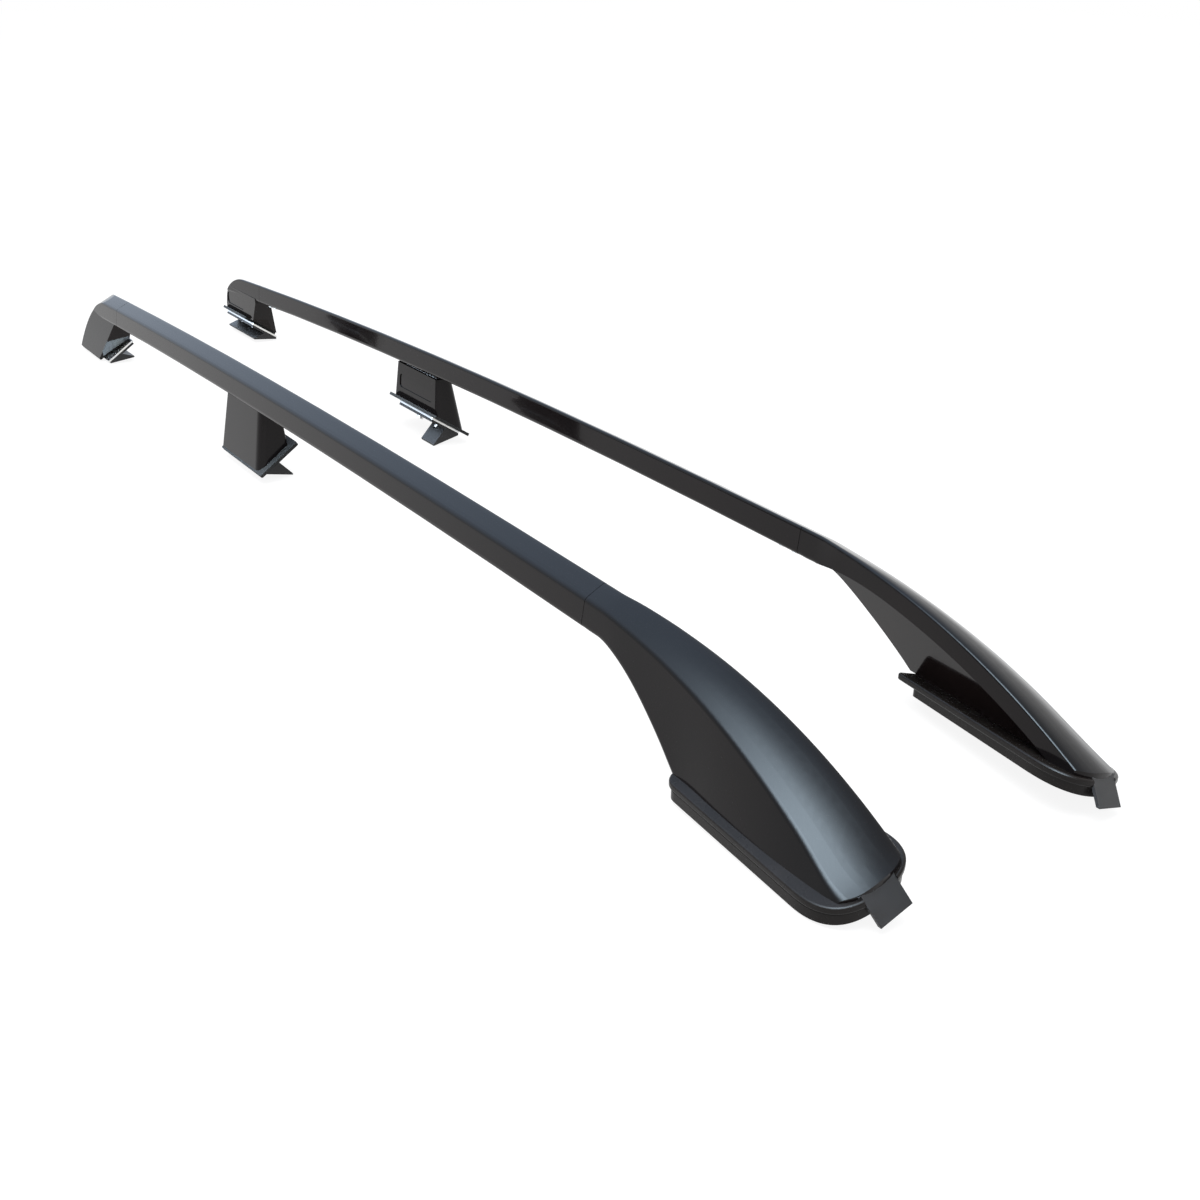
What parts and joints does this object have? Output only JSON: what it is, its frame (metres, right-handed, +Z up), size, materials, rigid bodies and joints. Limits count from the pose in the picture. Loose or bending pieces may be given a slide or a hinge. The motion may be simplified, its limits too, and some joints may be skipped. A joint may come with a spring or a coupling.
{
  "type": "pair of roof side rails",
  "caption": "Gloss black roof side rails: a crowned bar on swept front shoes, short middle legs and rounded rear legs, with clamps that grip the roof's edge",
  "frame": {"origin": "middle of the pair's box, on the ground under the lowest jaws", "axes": "X along the car to the front, Y to the car's left, Z up"},
  "size_m": [1.7808, 0.3234, 0.1243],
  "materials": {
    "bar_paint": "gloss black paint",
    "cover_gloss": "gloss black moulding",
    "base_satin": "satin black moulding",
    "pad_rubber": "matte black",
    "cast_alloy": "as cast",
    "zinc_steel": "bright zinc",
    "black_steel": "satin black coating"
  },
  "bodies": {
    "root": {"left_rail_bar": "bar_paint", "left_front_cover": "cover_gloss", "left_front_bracket": "cast_alloy", "left_front_spigot_screws": "zinc_steel", "left_front_base": "base_satin", "left_front_base_screws": "zinc_steel", "left_front_tongue": "black_steel", "left_rear_cover": "cover_gloss", "left_rear_bracket": "cast_alloy", "left_rear_spigot_screws": "zinc_steel", "left_rear_pad": "pad_rubber", "left_rear_clamp_plate": "zinc_steel", "left_rear_clamp_jaw": "black_steel", "left_rear_clamp_bolts": "zinc_steel", "left_mid_cover": "cover_gloss", "left_mid_post": "cast_alloy", "left_mid_nut_plate": "zinc_steel", "left_mid_rail_screws": "zinc_steel", "left_mid_pad": "pad_rubber", "left_mid_clamp_plate": "zinc_steel", "left_mid_clamp_jaw": "black_steel", "left_mid_clamp_bolts": "zinc_steel", "right_rail_bar": "bar_paint", "right_front_cover": "cover_gloss", "right_front_bracket": "cast_alloy", "right_front_spigot_screws": "zinc_steel", "right_front_base": "base_satin", "right_front_base_screws": "zinc_steel", "right_front_tongue": "black_steel", "right_rear_cover": "cover_gloss", "right_rear_bracket": "cast_alloy", "right_rear_spigot_screws": "zinc_steel", "right_rear_pad": "pad_rubber", "right_rear_clamp_plate": "zinc_steel", "right_rear_clamp_jaw": "black_steel", "right_rear_clamp_bolts": "zinc_steel", "right_mid_cover": "cover_gloss", "right_mid_post": "cast_alloy", "right_mid_nut_plate": "zinc_steel", "right_mid_rail_screws": "zinc_steel", "right_mid_pad": "pad_rubber", "right_mid_clamp_plate": "zinc_steel", "right_mid_clamp_jaw": "black_steel", "right_mid_clamp_bolts": "zinc_steel"}
  },
  "joints": []
}
